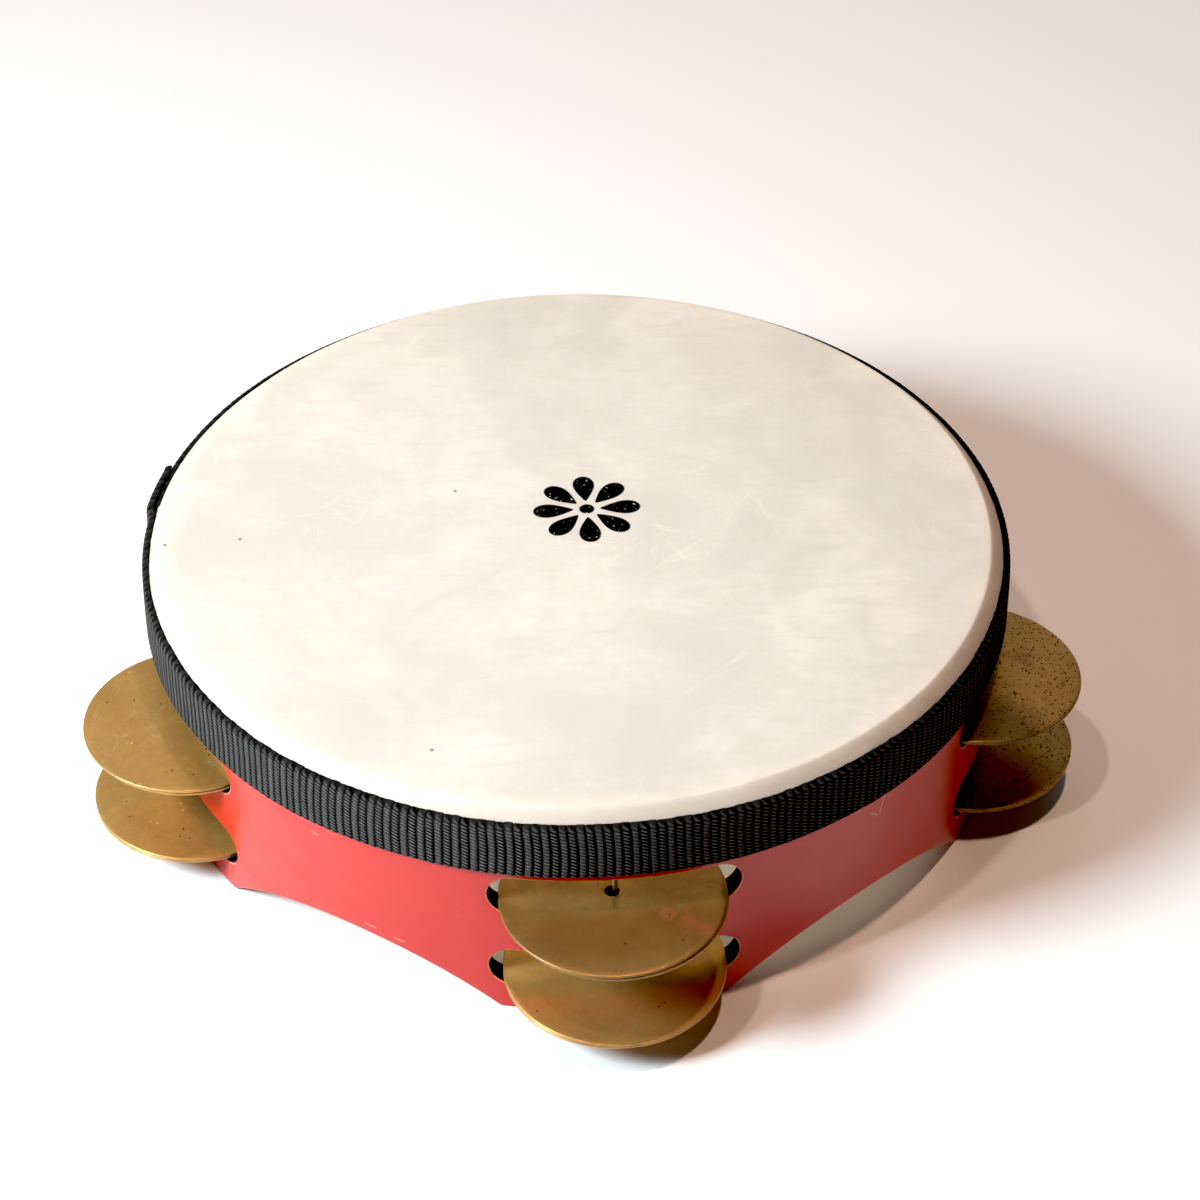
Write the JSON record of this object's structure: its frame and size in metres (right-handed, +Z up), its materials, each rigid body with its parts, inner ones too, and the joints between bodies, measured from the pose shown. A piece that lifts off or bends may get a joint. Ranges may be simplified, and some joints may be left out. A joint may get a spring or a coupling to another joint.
{
  "type": "tambourine",
  "caption": "Headed tambourine: red bent-wood hoop with arched feet, cream drumhead, black ribbed webbing band, and pairs of dished brass jingles loose on steel pins in the hoop's slots.",
  "frame": {"origin": "centre of the drumhead's playing face", "axes": "+Z up, out of the head and along the hoop's axis; -Y through station 1; the feet stand on the plane z = -0.0735 m"},
  "size_m": [0.2902, 0.2791, 0.0735],
  "materials": {
    "hoop_wood": "gloss red lacquer on bent wood, with dark burnt slot walls and bare wood inside",
    "head_film": "satin cream film with a mottled, fibrous, skin-like clouding",
    "webbing": "black woven webbing with ribs across its width",
    "pin_steel": "plain steel wire",
    "jingle_brass": "aged satin brass with light tarnish"
  },
  "bodies": {
    "hoop_assembly": {"hoop": "hoop_wood", "drumhead": "head_film", "webbing_band": "webbing", "pin_1": "pin_steel", "pin_2": "pin_steel", "pin_3": "pin_steel", "pin_4": "pin_steel", "pin_5": "pin_steel"},
    "jingle_1_lower_bottom": {"jingle_1_lower_bottom": "jingle_brass"},
    "jingle_1_lower_top": {"jingle_1_lower_top": "jingle_brass"},
    "jingle_1_upper_bottom": {"jingle_1_upper_bottom": "jingle_brass"},
    "jingle_1_upper_top": {"jingle_1_upper_top": "jingle_brass"},
    "jingle_2_lower_bottom": {"jingle_2_lower_bottom": "jingle_brass"},
    "jingle_2_lower_top": {"jingle_2_lower_top": "jingle_brass"},
    "jingle_2_upper_bottom": {"jingle_2_upper_bottom": "jingle_brass"},
    "jingle_2_upper_top": {"jingle_2_upper_top": "jingle_brass"},
    "jingle_3_lower_bottom": {"jingle_3_lower_bottom": "jingle_brass"},
    "jingle_3_lower_top": {"jingle_3_lower_top": "jingle_brass"},
    "jingle_3_upper_bottom": {"jingle_3_upper_bottom": "jingle_brass"},
    "jingle_3_upper_top": {"jingle_3_upper_top": "jingle_brass"},
    "jingle_4_lower_bottom": {"jingle_4_lower_bottom": "jingle_brass"},
    "jingle_4_lower_top": {"jingle_4_lower_top": "jingle_brass"},
    "jingle_4_upper_bottom": {"jingle_4_upper_bottom": "jingle_brass"},
    "jingle_4_upper_top": {"jingle_4_upper_top": "jingle_brass"},
    "jingle_5_lower_bottom": {"jingle_5_lower_bottom": "jingle_brass"},
    "jingle_5_lower_top": {"jingle_5_lower_top": "jingle_brass"},
    "jingle_5_upper_bottom": {"jingle_5_upper_bottom": "jingle_brass"},
    "jingle_5_upper_top": {"jingle_5_upper_top": "jingle_brass"}
  },
  "joints": [
    {"name": "spin_1_lower", "type": "hinge", "parent": "hoop_assembly", "child": "jingle_1_lower_bottom", "pos_m": [0, -0.12, -0.0578], "axis": [0, 0, 1], "continuous": true},
    {"name": "clash_1_lower", "type": "slide", "parent": "jingle_1_lower_bottom", "child": "jingle_1_lower_top", "axis": [0, 0, 1], "range_m": [0, 0.0082]},
    {"name": "spin_1_upper", "type": "hinge", "parent": "hoop_assembly", "child": "jingle_1_upper_bottom", "pos_m": [0, -0.12, -0.0307], "axis": [0, 0, 1], "continuous": true},
    {"name": "clash_1_upper", "type": "slide", "parent": "jingle_1_upper_bottom", "child": "jingle_1_upper_top", "axis": [0, 0, 1], "range_m": [0, 0.0082]},
    {"name": "spin_2_lower", "type": "hinge", "parent": "hoop_assembly", "child": "jingle_2_lower_bottom", "pos_m": [0.11413, -0.03708, -0.0578], "axis": [0, 0, 1], "continuous": true},
    {"name": "clash_2_lower", "type": "slide", "parent": "jingle_2_lower_bottom", "child": "jingle_2_lower_top", "axis": [0, 0, 1], "range_m": [0, 0.0082]},
    {"name": "spin_2_upper", "type": "hinge", "parent": "hoop_assembly", "child": "jingle_2_upper_bottom", "pos_m": [0.11413, -0.03708, -0.0307], "axis": [0, 0, 1], "continuous": true},
    {"name": "clash_2_upper", "type": "slide", "parent": "jingle_2_upper_bottom", "child": "jingle_2_upper_top", "axis": [0, 0, 1], "range_m": [0, 0.0082]},
    {"name": "spin_3_lower", "type": "hinge", "parent": "hoop_assembly", "child": "jingle_3_lower_bottom", "pos_m": [0.07053, 0.09708, -0.0578], "axis": [0, 0, 1], "continuous": true},
    {"name": "clash_3_lower", "type": "slide", "parent": "jingle_3_lower_bottom", "child": "jingle_3_lower_top", "axis": [0, 0, 1], "range_m": [0, 0.0082]},
    {"name": "spin_3_upper", "type": "hinge", "parent": "hoop_assembly", "child": "jingle_3_upper_bottom", "pos_m": [0.07053, 0.09708, -0.0307], "axis": [0, 0, 1], "continuous": true},
    {"name": "clash_3_upper", "type": "slide", "parent": "jingle_3_upper_bottom", "child": "jingle_3_upper_top", "axis": [0, 0, 1], "range_m": [0, 0.0082]},
    {"name": "spin_4_lower", "type": "hinge", "parent": "hoop_assembly", "child": "jingle_4_lower_bottom", "pos_m": [-0.07053, 0.09708, -0.0578], "axis": [0, 0, 1], "continuous": true},
    {"name": "clash_4_lower", "type": "slide", "parent": "jingle_4_lower_bottom", "child": "jingle_4_lower_top", "axis": [0, 0, 1], "range_m": [0, 0.0082]},
    {"name": "spin_4_upper", "type": "hinge", "parent": "hoop_assembly", "child": "jingle_4_upper_bottom", "pos_m": [-0.07053, 0.09708, -0.0307], "axis": [0, 0, 1], "continuous": true},
    {"name": "clash_4_upper", "type": "slide", "parent": "jingle_4_upper_bottom", "child": "jingle_4_upper_top", "axis": [0, 0, 1], "range_m": [0, 0.0082]},
    {"name": "spin_5_lower", "type": "hinge", "parent": "hoop_assembly", "child": "jingle_5_lower_bottom", "pos_m": [-0.11413, -0.03708, -0.0578], "axis": [0, 0, 1], "continuous": true},
    {"name": "clash_5_lower", "type": "slide", "parent": "jingle_5_lower_bottom", "child": "jingle_5_lower_top", "axis": [0, 0, 1], "range_m": [0, 0.0082]},
    {"name": "spin_5_upper", "type": "hinge", "parent": "hoop_assembly", "child": "jingle_5_upper_bottom", "pos_m": [-0.11413, -0.03708, -0.0307], "axis": [0, 0, 1], "continuous": true},
    {"name": "clash_5_upper", "type": "slide", "parent": "jingle_5_upper_bottom", "child": "jingle_5_upper_top", "axis": [0, 0, 1], "range_m": [0, 0.0082]}
  ]
}
